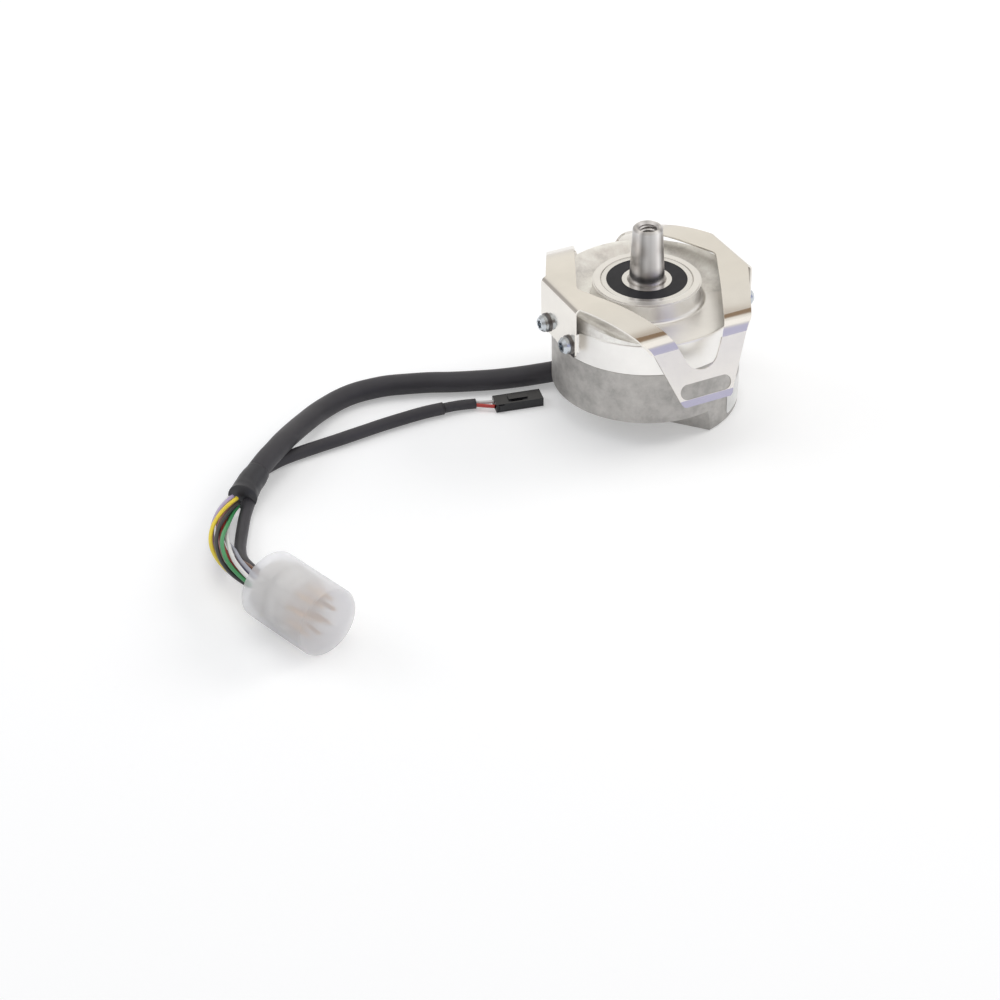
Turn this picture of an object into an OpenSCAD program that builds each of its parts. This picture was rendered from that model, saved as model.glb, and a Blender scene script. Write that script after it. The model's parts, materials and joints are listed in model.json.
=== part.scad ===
// Optical shaft encoder (pulse generator) with a taper shaft, a sheet-metal
// stator coupling and a sheathed cable.  Millimetres, +Z up along the shaft,
// origin on the shaft axis at the underside of the foot.

/* [Body] */
// Outside diameter of the flange and the rear cover
body_d = 53; // [50:0.5:58]
// Height of the foot that stands out of the rear cover
foot_h = 7; // [5:0.5:9]
// Distance from the shaft axis to the flat side of the foot
foot_chord = 11.7; // [8:0.1:16]
// Direction that the flat side of the foot faces, in degrees
foot_dir = 222; // [200:1:250]
// Lean of the foot's flat side, outwards from the floor up, in degrees
foot_lean = 9; // [0:0.5:12]
// Distance from the shaft axis to the side of the foot that the cable leaves
foot_back = 16; // [14:0.1:18]
// Height of the cover's wall above the foot
cover_h = 15.6; // [14:0.2:20]
// Height of the flange's wall above the cover
flange_h = 9.3; // [8:0.1:12]
// Height of the hub above the flange
hub_h = 5.8; // [5:0.1:8]
// Diameter of the hub round the front bearing
hub_d = 30.4; // [29:0.2:33]

/* [Shaft] */
// Diameter of the shaft in the bearings and at the foot of the taper
shaft_d = 10; // [10:1:10]
// Length of the taper above the hub
taper_len = 16.2; // [12:0.2:20]
// Taper, as diameter lost per length
taper = 0.1; // [0.05:0.01:0.12]
// Wall radius of the threaded hole in the shaft's tip
thread_r = 2.5; // [2:0.1:3]
// Depth of the threaded hole
thread_len = 15; // [10:1:20]

/* [Coupling] */
// Thickness of the coupling's sheet
sheet_t = 0.5; // [0.3:0.05:0.8]
// Height of the coupling's crown above the hub
crown_gap = 2.5; // [2:0.1:4]
// Distance from the axis to the outer face of a folded tab
tab_x = 27.7; // [27:0.1:29]
// Half the width of a tab
tab_w = 10.2; // [9:0.1:11]
// Height of a tab, from the crown down
tab_h = 15.4; // [13:0.1:16]
// Straight length of an ear below its bend
ear_len = 16.75; // [15:0.25:18]
// Slope of an ear below the horizontal, in degrees
ear_slope = 73; // [65:1:80]
// Length of the slot in an ear
slot_len = 15.6; // [12:0.2:17]
// Width of the slot in an ear
slot_w = 4.3; // [3:0.1:4.5]

/* [Cable] */
// Diameter of the main cable
cable_d = 6; // [5:0.1:6.4]
// Height of the cable's outlet above the foot's underside
outlet_z = 3.75; // [3.7:0.01:3.8]
// Direction in which the cable leaves the foot, in degrees
outlet_dir = 171; // [168:1:174]
// Distance from the shaft axis to the cable's line at the outlet
outlet_off = 13.7; // [13:0.1:14]
// Outside diameter of the connector's protective cap
cap_d = 18.4; // [18:0.1:20]
// Length of the protective cap
cap_len = 22; // [20:0.5:26]

/* [Hidden] */
$fn = 72;
body_r = body_d / 2;
rim_z = foot_h;
split_z = rim_z + cover_h;
flange_z = split_z + flange_h;
hub_z = flange_z + hub_h;
crown_z = hub_z + crown_gap;
tip_z = hub_z + taper_len;
shaft_r = shaft_d / 2;
run_gap = 0.05;

// cover and flange walls
cover_wall = 2;
floor_t = 1.6;
cover_in_r = body_r - cover_wall;
spigot_r = cover_in_r - 0.15;
spigot_h = 2.2;
hub_tube_r = 12.5;
hub_tube_z = 18;
cavity_r = 22.4;
cavity_z = flange_z - 3.4;
fix_r = 21.5;
fix_dirs = [foot_dir, foot_dir + 120, foot_dir + 240];
fix_seat_z = 9.6;
fix_screw_r = 1.25;
fix_screw_len = 16;
column_r = 3.3;
column_z = split_z - spigot_h - 0.2;
outlet_r = 3.6;
outlet_neck = 3.13;
outlet_flat = 0.6;

// front bearing: 10 x 26 x 8 deep-groove, sealed
fb_r = 13;
fb_w = 8;
fb_top = hub_z - 0.1;
fb_mid = fb_top - fb_w / 2;
fb_pitch = 9;
fb_ball = 2.36;
fb_count = 7;
fb_land_in = 7.3;
fb_land_out = 10.8;
seal_in = 7;
seal_out = 11.3;
seal_seat = 6.95;
seal_t = 0.9;

// rear bearing: 10 x 19 x 5 thin section, open
rb_r = 9.5;
rb_w = 5;
rb_bot = 19.6;
rb_mid = rb_bot + rb_w / 2;
rb_pitch = 7.25;
rb_ball = 1.16;
rb_count = 11;
rb_land_in = 6.5;
rb_land_out = 8;
groove_gap = 0.06;
shoulder_r = 6;

// measuring parts below the rear bearing
rear_pin_r = 4;
clip_t = 1;
disc_z = 13;
disc_t = 1.2;
disc_r = 18;
track_r = 16;
board_z = 9;
board_t = 1.4;
board_r = 22;
sensor_dir = 20;
pillar_r = 20.3;
pillar_dirs = [50, 117.5, 290];

// stator coupling
flat_y = tab_w;
crown_slope = 20;
crown_end_y = 26.4;
crown_arc_r = (crown_end_y - flat_y) / sin(crown_slope);
bend_r = 6.5;
fold_r = 1.9;
slot_l = 12.5;
lip_l = 14.8;
lip_turn = 14;
notch_r = 5.2;
notch_l = 2.1;
window_x = 21.9;
window_round = 3;
window_slope = 0.4754;
pad_w = 8;
pad_z0 = flange_z - 6.8;
pad_z1 = flange_z - 1;
screw_y = 6.6;
screw_z = crown_z - 12.6;
washer_r = 2.7;
washer_t = 0.5;
head_r = 2.4;
head_h = 1.9;

// protective cap and contact insert, on an axis that lies level on the floor
cap_pos = [-132.7, -47.9, cap_d / 2];
cap_dir = -71.6;
cap_wall = 1.1;
insert_r = cap_d / 2 - cap_wall - 0.1;
insert_start = 1;
insert_len = 12;
contact_count = 9;
contact_ring = 5.4;
contact_r = 0.5;

// two-pin plug, lying flat on the floor
plug_pos = [-41.7, 12.4, 0];
plug_dir = -11.5;
plug_size = [13.8, 5.1, 2.6];
plug_pitch = 2.54;

// cord routes: points chosen by hand, on the floor at the cord's own radius
lead_d = 3.6;
sleeve_d = 2.9;
tail_d = 3.1;
bundle_d = 4.6;
cable_z = cable_d / 2 + 0.05;
lead_z = lead_d / 2 + 0.05;
outlet_face = foot_back + 0.5;
exit_vec = [cos(outlet_dir), sin(outlet_dir), 0];
exit_pt = outlet_face * exit_vec
    + [outlet_off * sin(outlet_dir), -outlet_off * cos(outlet_dir), outlet_z];
cable_route = concat(
    [exit_pt, exit_pt + 3.4 * exit_vec],
    [[-21.1, 17.2, 3.65], [-24.9, 18.1, 3.5], [-29.6, 19.3, 3.3],
     [-36.1, 21.2, 3.15], [-42.4, 23.6, cable_z], [-48.6, 26.1, cable_z], [-54.5, 28.9, cable_z], [-60.5, 31.1, cable_z],
     [-65.9, 32.8, cable_z], [-70.8, 33.4, cable_z], [-75.6, 33.4, cable_z],
     [-80.3, 32.5, cable_z], [-85, 30.7, 3.1], [-89.7, 28, 3.5],
     [-94, 24.5, 4.3], [-98.2, 20.8, 5.2], [-102.1, 17.1, 6.1],
     [-105.8, 13.6, 6.75], [-109, 10.7, 6.9], [-112, 8.4, 6.7],
     [-114.5, 6.4, 6.3], [-116.6, 4.8, 5.8]]);
shrink_route = [
    [-115.8, 5.1, 5.9], [-117.8, 3.5, 5.3], [-119.7, 2, 4.7],
    [-121.6, 0.2, 4.2], [-123.2, -2, 4.1]];
shrink_radii = [3.3, 3.45, 3.6, 3.8, 3.9];
shrink_branch = [
    [-113.5, 10, 2.2], [-115.4, 8.4, 2.4], [-117.6, 5.6, 2.8], [-119.4, 2.8, 3.2]];
shrink_branch_r = 2.1;
lead_route = [
    [-114.6, 9.2, 2.3], [-112, 10.9, 2], [-109.2, 12.2, lead_z],
    [-106.3, 13.1, lead_z], [-102.8, 13.7, lead_z], [-98.6, 14.2, lead_z],
    [-93.4, 14.7, lead_z], [-87.8, 15.1, lead_z], [-81.5, 15.7, lead_z],
    [-74.7, 16.4, lead_z], [-67.8, 16.7, lead_z], [-61.2, 16.8, lead_z],
    [-55.9, 16.4, lead_z]];
sleeve_route = [[-55.9, 16.4, lead_z], [-51.1, 16, 1.65], [-46.4, 14.9, 1.5]];
wire_route = [[-46.6, 14.9, 1.5], [-44, 13.6, 1.4], [-41.5, 12.4, 1.35]];
wire_r = 0.55;
bundle_route = [
    [-126, -2.9, 4.2], [-129.2, -6, 4.2], [-132.3, -10.6, 4.5],
    [-135, -16.4, 5.2], [-136.8, -22.8, 6.2], [-137.6, -29.6, 7.5],
    [-137.6, -36, 8.7], [-136.7, -41.4, 9.4], [-135.4, -46, 9.7],
    [-134.35, -49.35, 9.8]];
tail_route = [
    [-120.2, -0.1, 2.4], [-122.5, -4, 2.3], [-124.8, -7.8, 2.2],
    [-127.1, -12.2, 2.2], [-129.8, -17.9, 2.5], [-132.4, -24.8, 4],
    [-133.6, -30.3, 5.5], [-133.8, -35.3, 7], [-133, -40.8, 7.9],
    [-131.2, -46, 8.2], [-130.4, -47.85, 8.2]];

// ---------------------------------------------------------------- helpers

// the direction d degrees round the shaft, at radius r and height z
module at(r, d, z = 0) {
    rotate([0, 0, d]) translate([r, 0, z]) children();
}

// the ring between two radii, from z up by h
module ring(r_out, r_in, z, h) {
    translate([0, 0, z]) difference() {
        cylinder(r = r_out, h = h);
        translate([0, 0, -1]) cylinder(r = r_in, h = h + 2);
    }
}

// a sector of a flat ring, from angle a0 to a1, which are under 90 apart
module arc_strip(r_out, r_in, a0, a1) {
    far = 2 * r_out;
    intersection() {
        difference() {
            circle(r = r_out);
            circle(r = r_in);
        }
        polygon([[0, 0], far * [cos(a0), sin(a0)],
            far * [cos((a0 + a1) / 2), sin((a0 + a1) / 2)],
            far * [cos(a1), sin(a1)]]);
    }
}

function unit(v) = v / norm(v);

function route_dir(p, i) =
    unit(p[min(i + 1, len(p) - 1)] - p[max(i - 1, 0)]);

function route_ring(p, r, i, sides) =
    let (t = route_dir(p, i), s = unit(cross([0, 0, 1], t)), u = cross(t, s))
    [for (k = [0 : sides - 1])
        let (a = 360 * k / sides) p[i] + r * (cos(a) * s + sin(a) * u)];

// a tube swept along the points p; r is one radius or a list of them
module tube(p, r, sides = 8) {
    n = len(p);
    radius = function (i) is_list(r) ? r[i] : r;
    rings = [for (i = [0 : n - 1]) each route_ring(p, radius(i), i, sides)];
    walls = [for (i = [0 : n - 2], k = [0 : sides - 1])
        let (a = i * sides + k, b = i * sides + (k + 1) % sides)
        each [[a, a + sides, b], [b, a + sides, b + sides]]];
    start = [for (k = [0 : sides - 1]) k];
    end = [for (k = [0 : sides - 1]) n * sides - 1 - k];
    polyhedron(points = rings, faces = concat(walls, [start, end]));
}

// ------------------------------------------------------------------- body

module hub_profile() {
    fillet = 1.4;
    root_r = hub_d / 2 + fillet;
    difference() {
        union() {
            translate([0, hub_tube_z]) square([hub_tube_r, hub_z - hub_tube_z]);
            square_top = flange_z - cavity_z;
            translate([0, cavity_z]) square([body_r - 0.6, square_top]);
            translate([0, split_z]) square([body_r, flange_h - 0.6]);
            translate([body_r - 0.6, flange_z - 0.6]) circle(r = 0.6);
            translate([0, flange_z - 1]) square([root_r, 1 + fillet]);
            translate([0, flange_z]) square([hub_d / 2 - 0.4, hub_h]);
            translate([0, flange_z]) square([hub_d / 2, hub_h - 0.4]);
            translate([0, split_z - spigot_h]) square([spigot_r, 8]);
        }
        translate([root_r, flange_z + fillet]) circle(r = fillet);
        // the cast hollow between the hub tube and the wall
        translate([hub_tube_r, 0]) square([cavity_r - hub_tube_r, cavity_z]);
        square([hub_tube_r, hub_tube_z]);
        // groove for the gasket
        translate([spigot_r - 0.7, split_z - spigot_h / 2 - 0.6]) square([2, 1.2]);
        // bores for the two bearings and the shaft
        translate([-1, fb_top - fb_w]) square([fb_r + 1, 20]);
        translate([-1, 0]) square([rb_r + 1, rb_bot + rb_w + 1.2]);
        translate([-1, 0]) square([8, 60]);
    }
}

module flange() {
    boss_z = column_z + 0.05;
    color("#d9d3c6") difference() {
        union() {
            rotate_extrude() hub_profile();
            intersection() {
                union() {
                    for (d = fix_dirs) at(fix_r, d, boss_z)
                        cylinder(r = column_r - 0.2, h = cavity_z - boss_z + 1);
                }
                cylinder(r = cavity_r + 0.4, h = 60);
            }
            for (s = [-1, 1]) intersection() {
                translate([s > 0 ? 20 : -tab_x + sheet_t, -pad_w, pad_z0])
                    cube([tab_x - sheet_t - 20, 2 * pad_w, pad_z1 - pad_z0]);
                ring(40, cavity_r + 0.4, 0, 60);
            }
        }
        for (d = fix_dirs) at(fix_r, d, boss_z - 1)
            cylinder(r = fix_screw_r + 0.02, h = 7);
        for (s = [-1, 1], y = [-screw_y, screw_y])
            translate([s * 30, y, screw_z]) rotate([0, -90 * s, 0])
                cylinder(r = fix_screw_r + 0.02, h = 7.2);
    }
}

// everything beyond the foot's two flat sides, pushed outwards by g
module beyond_foot(g, h) {
    intersection() {
        union() {
            rotate([0, 0, foot_dir]) translate([foot_chord + g, 0, 0])
                rotate([0, foot_lean, 0]) translate([0, -60, -30]) cube([60, 120, 60]);
            rotate([0, 0, outlet_dir]) translate([foot_back + g, -60, -30])
                cube([60, 120, 60]);
        }
        translate([-80, -80, -1]) cube([160, 160, h + 1]);
    }
}

// the wide inner part of the outlet, cut flat underneath
module outlet_seat(r, z, h, flat) {
    intersection() {
        on_outlet() translate([0, 0, z]) cylinder(r = r, h = h);
        translate([-60, -60, flat]) cube([120, 120, 30]);
    }
}

module rear_cover() {
    edge = 0.4;
    color("#a5a099") difference() {
        rotate_extrude() polygon([[0, 0], [body_r - edge, 0], [body_r, edge],
            [body_r, split_z - edge / 2], [body_r - edge / 2, split_z], [0, split_z]]);
        beyond_foot(0, rim_z);
        difference() {
            translate([0, 0, floor_t]) cylinder(r = cover_in_r, h = 40);
            beyond_foot(-cover_wall, rim_z + floor_t);
            for (d = fix_dirs) at(fix_r, d) cylinder(r = column_r, h = column_z);
            // block round the outlet, low enough to pass under the board's screw
            rotate([0, 0, outlet_dir]) translate([11, -outlet_off - outlet_r - 0.7, 0])
                cube([4.5, 2 * outlet_r + 1.4, outlet_z + outlet_r + 0.4]);
        }
        // counterbores and clearance holes for the three long screws
        for (d = fix_dirs) at(fix_r, d, -1) {
            cylinder(r = 2.6, h = fix_seat_z + 1);
            cylinder(r = 1.4, h = 40);
        }
        // stepped outlet that the grommet snaps into
        on_outlet() translate([0, 0, 12]) cylinder(r = outlet_neck, h = 10);
        outlet_seat(outlet_r, 10.8, foot_back - 2 - 10.8, outlet_flat);
    }
}

module cover_gasket() {
    color("#1d1d1f") rotate_extrude()
        translate([spigot_r - 0.22, split_z - spigot_h / 2]) circle(r = 0.34);
}

// the lobes of a star recess, h deep
module star_recess(r, h) {
    for (a = [0, 60, 120]) rotate([0, 0, a])
        translate([-r, -r * 0.3, 0]) cube([2 * r, r * 0.6, h]);
}

// a pan head with its underside at z = 0, and a shank below it
module pan_screw(shank_r, shank_len, r, h) {
    difference() {
        union() {
            cylinder(r = r, h = h * 0.55);
            translate([0, 0, h * 0.55]) cylinder(r1 = r, r2 = r * 0.72, h = h * 0.45);
            translate([0, 0, -shank_len]) cylinder(r = shank_r, h = shank_len + 0.1);
        }
        translate([0, 0, h * 0.4]) star_recess(r * 0.52, h);
    }
}

module cover_screws() {
    color("#b9bcbf") for (d = fix_dirs) at(fix_r, d, fix_seat_z)
        rotate([180, 0, 0]) pan_screw(fix_screw_r, fix_screw_len, 2.3, 2);
}

// --------------------------------------------------------------- coupling

// half of the crown's section, drawn as (y, z)
module half_section() {
    c1 = [flat_y, crown_z - crown_arc_r];
    a1 = 90 - crown_slope;
    a2 = 90 - ear_slope;
    c2 = c1 + (crown_arc_r - bend_r) * [cos(a1), sin(a1)];
    p = c2 + bend_r * [cos(a2), sin(a2)];
    translate([-0.5, crown_z - sheet_t]) square([flat_y + 0.5, sheet_t]);
    translate(c1) arc_strip(crown_arc_r, crown_arc_r - sheet_t, a1, 90);
    translate(c2) arc_strip(bend_r, bend_r - sheet_t, a2, a1 + 0.4);
    translate(p) rotate(-ear_slope) {
        translate([0, -sheet_t]) square([lip_l, sheet_t]);
        translate([lip_l, -sheet_t]) rotate(lip_turn)
            square([ear_len - lip_l, sheet_t]);
    }
}

// where an ear's straight part starts, as (y, z)
function ear_root() =
    let (a1 = 90 - crown_slope, a2 = 90 - ear_slope)
    [flat_y, crown_z - crown_arc_r]
        + (crown_arc_r - bend_r) * [cos(a1), sin(a1)]
        + bend_r * [cos(a2), sin(a2)];

// mirrors a list of corners [x, y] into all four quadrants, as one outline
function four_way(q) = [for (m = [[1, 1], [-1, 1], [-1, -1], [1, -1]])
    each [for (k = [0 : len(q) - 1])
        let (j = m[0] * m[1] > 0 ? k : len(q) - 1 - k)
        [m[0] * q[j][0], m[1] * q[j][1]]]];

// outline of the crown from above, out past the ears' roots
module crown_plan() {
    root_y = ear_root()[0];
    difference() {
        polygon(four_way([[tab_x - fold_r, flat_y], [26.3, flat_y],
            [16.8, 28.5], [14.3, root_y], [14.3, root_y + 1]]));
        window_plan(root_y);
    }
}

// the lens-shaped window round the hub, which runs on into the ears
module window_plan(root_y) {
    tilt = atan(window_slope);
    cx = window_x - window_round / cos(tilt);
    tangent = [cx + window_round * cos(tilt), window_round * sin(tilt)];
    kink_y = 28.5;
    polygon(four_way([tangent, [window_x - window_slope * kink_y, kink_y],
        [6.72, root_y], [6.72, root_y + 2]]));
    for (s = [-1, 1]) translate([s * cx, 0]) circle(r = window_round);
}

// outline of an ear in its own plane: x across, y down its slope from its root
module ear_plan() {
    round_r = 2;
    corner = [6.09, ear_len - round_r];
    difference() {
        union() {
            polygon([[-14.34, -0.1], [14.34, -0.1], [7.94, ear_len - 1.24],
                [corner[0], ear_len], [-corner[0], ear_len],
                [-7.94, ear_len - 1.24]]);
            for (s = [-1, 1]) translate([s * corner[0], corner[1]])
                circle(r = round_r);
        }
        polygon([[-6.7, -0.1], [-4.72, 4.27], [4.72, 4.27], [6.7, -0.1]]);
        translate([0, notch_l]) circle(r = notch_r);
        translate([-slot_len / 2 + slot_w / 2, slot_l - slot_w / 2])
            square([slot_len - slot_w, slot_w]);
        for (s = [-1, 1])
            translate([s * (slot_len - slot_w) / 2, slot_l]) circle(r = slot_w / 2);
    }
}

// puts children in an ear's own frame: +Y down its slope, +Z out of its face
module on_ear(m) {
    mirror([0, m, 0]) translate([0, ear_root()[0], ear_root()[1]])
        rotate([-ear_slope, 0, 0]) children();
}

module folded_tab() {
    corner_r = 1.2;
    top = crown_z - fold_r;
    bottom = crown_z - tab_h;
    translate([0, tab_w, 0]) rotate([90, 0, 0]) linear_extrude(2 * tab_w)
        translate([tab_x - fold_r, top]) {
            arc_strip(fold_r, fold_r - sheet_t, 0, 90);
            translate([-0.4, fold_r - sheet_t]) square([0.4, sheet_t]);
        }
    difference() {
        translate([tab_x - sheet_t, 0, 0]) rotate([90, 0, 90])
            linear_extrude(sheet_t) {
                translate([-tab_w, bottom + corner_r])
                    square([2 * tab_w, top - bottom - corner_r]);
                translate([-tab_w + corner_r, bottom])
                    square([2 * (tab_w - corner_r), corner_r + 0.1]);
                for (s = [-1, 1])
                    translate([s * (tab_w - corner_r), bottom + corner_r])
                        circle(r = corner_r);
            }
        for (y = [-screw_y, screw_y])
            translate([tab_x - 2, y, screw_z]) rotate([0, 90, 0])
                cylinder(r = 1.45, h = 4);
    }
}

module stator_coupling() {
    color("#dcd6ca") {
        difference() {
            for (m = [0, 1]) mirror([0, m, 0]) rotate([90, 0, 90])
                translate([0, 0, -35]) linear_extrude(70) half_section();
            // waste round the crown and in its window
            difference() {
                translate([0, 0, ear_root()[1] - 4]) linear_extrude(30)
                    difference() {
                        square(100, center = true);
                        crown_plan();
                    }
                for (m = [0, 1]) on_ear(m) translate([-60, 0, -20]) cube([120, 60, 60]);
            }
            // waste round the ears and in their slots
            for (m = [0, 1]) on_ear(m) translate([0, 0, -3]) linear_extrude(12)
                difference() {
                    translate([-60, -0.01]) square([120, 40]);
                    ear_plan();
                }
        }
        for (m = [0, 1]) mirror([m, 0, 0]) folded_tab();
    }
}

// places children on each tab screw's axis, with +Z pointing outwards
module tab_screw_places(out) {
    for (s = [-1, 1], y = [-screw_y, screw_y])
        translate([s * (tab_x + out), y, screw_z]) rotate([0, 90 * s, 0])
            children();
}

module coupling_washers() {
    color("#8d8f90") tab_screw_places(0)
        ring(washer_r, 1.4, 0, washer_t);
}

module coupling_screws() {
    color("#c3c5c7") tab_screw_places(washer_t)
        pan_screw(fix_screw_r, 5, head_r, head_h);
}

// ------------------------------------------------- shaft and its bearings

module shaft() {
    base_z = hub_z - 0.6;
    chamfer = 0.5;
    tip_r = shaft_r - taper * (tip_z - base_z) / 2;
    color("#c9cbcd") difference() {
        rotate_extrude() polygon([
            [0, disc_z - 2.2], [rear_pin_r - 0.4, disc_z - 2.2],
            [rear_pin_r, disc_z - 1.8], [rear_pin_r, rb_bot - 1.6],
            [shaft_r, rb_bot - 1.6], [shaft_r, rb_bot - clip_t],
            [shaft_r - 0.5, rb_bot - clip_t], [shaft_r - 0.5, rb_bot],
            [shaft_r, rb_bot], [shaft_r, rb_bot + rb_w],
            [shoulder_r, rb_bot + rb_w], [shoulder_r, fb_top - fb_w],
            [shaft_r, fb_top - fb_w], [shaft_r, base_z],
            [tip_r, tip_z - chamfer], [tip_r - chamfer, tip_z], [0, tip_z]]);
        translate([0, 0, tip_z - thread_len]) cylinder(r = thread_r, h = thread_len + 1);
        translate([0, 0, tip_z - 0.6]) cylinder(r1 = thread_r, r2 = thread_r + 0.7, h = 0.7);
        translate([0, 0, tip_z - thread_len - 1.2])
            cylinder(r1 = 0.3, r2 = thread_r, h = 1.3);
    }
}

module shaft_clip() {
    color("#3b3d40") difference() {
        ring(shaft_r + 1.5, shaft_r - 0.45, rb_bot - clip_t, clip_t - 0.02);
        translate([0, -0.9, 0]) cube([20, 1.8, 40]);
    }
}

// the outer or inner ring of a bearing, with its ball groove
module front_bearing_outer_ring() {
    chamfer = 0.35;
    bot = fb_top - fb_w;
    color("#d5d6d6") difference() {
        rotate_extrude() polygon([[fb_land_out, bot], [fb_r - chamfer, bot],
            [fb_r, bot + chamfer], [fb_r, fb_top - chamfer],
            [fb_r - chamfer, fb_top], [fb_land_out, fb_top]]);
        rotate_extrude() translate([fb_pitch, fb_mid]) circle(r = fb_ball + groove_gap);
        for (z = [fb_top - fb_w - 1, fb_top - seal_t - 0.2])
            translate([0, 0, z]) cylinder(r = seal_out, h = seal_t + 1.2);
    }
}

module front_bearing_inner_ring() {
    chamfer = 0.5;
    bot = fb_top - fb_w;
    seat = seal_t + 0.2;
    color("#d5d6d6") rotate_extrude() difference() {
        polygon([[shaft_r, bot], [seal_seat, bot], [seal_seat, bot + seat],
            [fb_land_in, bot + seat], [fb_land_in, fb_top - seat],
            [seal_seat, fb_top - seat], [seal_seat, fb_top],
            [shaft_r + chamfer, fb_top], [shaft_r, fb_top - chamfer]]);
        translate([fb_pitch, fb_mid]) circle(r = fb_ball + groove_gap);
    }
}

module front_bearing_balls() {
    color("#e3e5e6") for (k = [0 : fb_count - 1])
        at(fb_pitch, 360 * k / fb_count, fb_mid) sphere(r = fb_ball, $fn = 48);
}

module front_bearing_cage() {
    color("#a8814a") difference() {
        ring(fb_pitch + 0.6, fb_pitch - 0.6, fb_mid - 2.75, 3.6);
        for (k = [0 : fb_count - 1]) at(fb_pitch, 360 * k / fb_count, fb_mid)
            sphere(r = fb_ball + groove_gap, $fn = 48);
    }
}

module front_bearing_seals() {
    color("#2c2c2e") for (z = [fb_top - fb_w + 0.15, fb_top - seal_t - 0.15])
        ring(seal_out - 0.02, seal_in, z, seal_t);
}

module rear_bearing_outer_ring() {
    color("#cfd1d2") difference() {
        ring(rb_r, rb_land_out, rb_bot, rb_w);
        rotate_extrude() translate([rb_pitch, rb_mid]) circle(r = rb_ball + groove_gap);
    }
}

module rear_bearing_inner_ring() {
    color("#cfd1d2") difference() {
        ring(rb_land_in, shaft_r, rb_bot, rb_w);
        rotate_extrude() translate([rb_pitch, rb_mid]) circle(r = rb_ball + groove_gap);
    }
}

module rear_bearing_balls() {
    color("#e3e5e6") for (k = [0 : rb_count - 1])
        at(rb_pitch, 360 * k / rb_count, rb_mid) sphere(r = rb_ball, $fn = 48);
}

module rear_bearing_cage() {
    color("#a8814a") difference() {
        ring(rb_pitch + 0.35, rb_pitch - 0.35, rb_mid - 1.6, 2.1);
        for (k = [0 : rb_count - 1]) at(rb_pitch, 360 * k / rb_count, rb_mid)
            sphere(r = rb_ball + groove_gap, $fn = 48);
    }
}

// split spacer ring that loads the rear bearing's outer ring
module preload_spring() {
    color("#6f7276") difference() {
        ring(rb_r - 0.1, rb_land_out + 0.2, rb_bot + rb_w, 1.15);
        for (k = [0 : 5]) at(rb_r, 60 * k, rb_bot + rb_w + (k % 2 == 0 ? 0.7 : -0.25))
            translate([-3, -2.2, 0]) cube([6, 4.4, 0.7]);
    }
}

// --------------------------------------------------------- measuring parts

module disc_hub() {
    color("#c2c4c6") difference() {
        rotate_extrude() polygon([[rear_pin_r + 0.02, disc_z + disc_t],
            [9, disc_z + disc_t], [9, disc_z + disc_t + 1],
            [6.4, disc_z + disc_t + 1.6], [6.4, rb_bot - 2.2],
            [rear_pin_r + 0.02, rb_bot - 2.2]]);
        for (a = [0, 120, 240]) at(0, a, disc_z + disc_t + 2.5) rotate([0, 90, 0])
            cylinder(r = 0.8, h = 10);
    }
}

module code_disc() {
    slits = 36;
    color("#9fb6c2", 0.6) difference() {
        ring(disc_r, rear_pin_r + 0.1, disc_z, disc_t - 0.02);
        for (k = [0 : slits - 1]) at(track_r, 360 * k / slits, disc_z + disc_t - 0.14)
            translate([-1.2, -0.45, 0]) cube([2.4, 0.9, 1]);
    }
}

module disc_clamp() {
    color("#8b6f3e") ring(6.4, rear_pin_r + 0.02, disc_z - 1.5, 1.48);
}

module lamp_holder() {
    color("#26272a") rotate([0, 0, sensor_dir]) difference() {
        translate([13.1, -4, disc_z + disc_t + 0.7])
            cube([7.4, 8, cavity_z - disc_z - disc_t - 0.72]);
        translate([track_r, 0, disc_z]) cylinder(r = 2.5, h = 5.4);
    }
}

module lamp_lens() {
    color("#dfeaf2", 0.6) rotate([0, 0, sensor_dir])
        translate([track_r, 0, disc_z + disc_t + 1]) {
            cylinder(r = 2.48, h = 1);
            translate([0, 0, 1]) intersection() {
                cylinder(r = 2.2, h = 3);
                translate([0, 0, -1.4]) sphere(r = 2.9);
            }
        }
}

module scanning_plate() {
    color("#9fb6c2", 0.6) rotate([0, 0, sensor_dir])
        translate([track_r - 3.5, -4, disc_z - 1.2]) cube([7, 8, 0.8]);
}

module detector() {
    color("#2a2a2c") rotate([0, 0, sensor_dir])
        translate([track_r - 3, -3, board_z + board_t]) cube([6, 6, 1.38]);
}

module circuit_board() {
    color("#2f6b45") difference() {
        translate([0, 0, board_z]) cylinder(r = board_r, h = board_t);
        for (d = fix_dirs) at(fix_r, d, board_z - 1) cylinder(r = column_r + 0.4, h = 4);
        for (d = pillar_dirs) at(pillar_r, d, board_z - 1) cylinder(r = 1.1, h = 4);
        translate([0, 0, board_z - 1]) cylinder(r = 4.6, h = 4);
    }
}

// chips and capacitors on the board's two faces
module board_parts() {
    chips = [[-6, 10, 4, 4], [-11, -4, 6, 4], [3, -12, 4, 4], [1, 14, 6, 3]];
    caps = [[-11, 1], [-16, -5], [8, 13], [11, -9], [-5, -13]];
    color("#1f2023") for (c = chips)
        translate([c[0] - c[2] / 2, c[1] - c[3] / 2, board_z + board_t]) cube([c[2], c[3], 0.9]);
    color("#b08a55") for (c = caps)
        translate([c[0] - 1, c[1] - 0.6, board_z + board_t]) cube([2, 1.2, 0.8]);
}

module board_socket() {
    color("#e6e2d6") translate([-7, -3, board_z - 4.6]) difference() {
        cube([14, 5.6, 4.58]);
        translate([1, 1, -1]) cube([12, 3.6, 4]);
    }
}

module board_pillars() {
    color("#b9bcbf") for (d = pillar_dirs) at(pillar_r, d, board_z + board_t) difference() {
        cylinder(r = 1.9, h = cavity_z - board_z - board_t - 0.02, $fn = 6);
        translate([0, 0, -1]) cylinder(r = 1.02, h = 6);
    }
}

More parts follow.
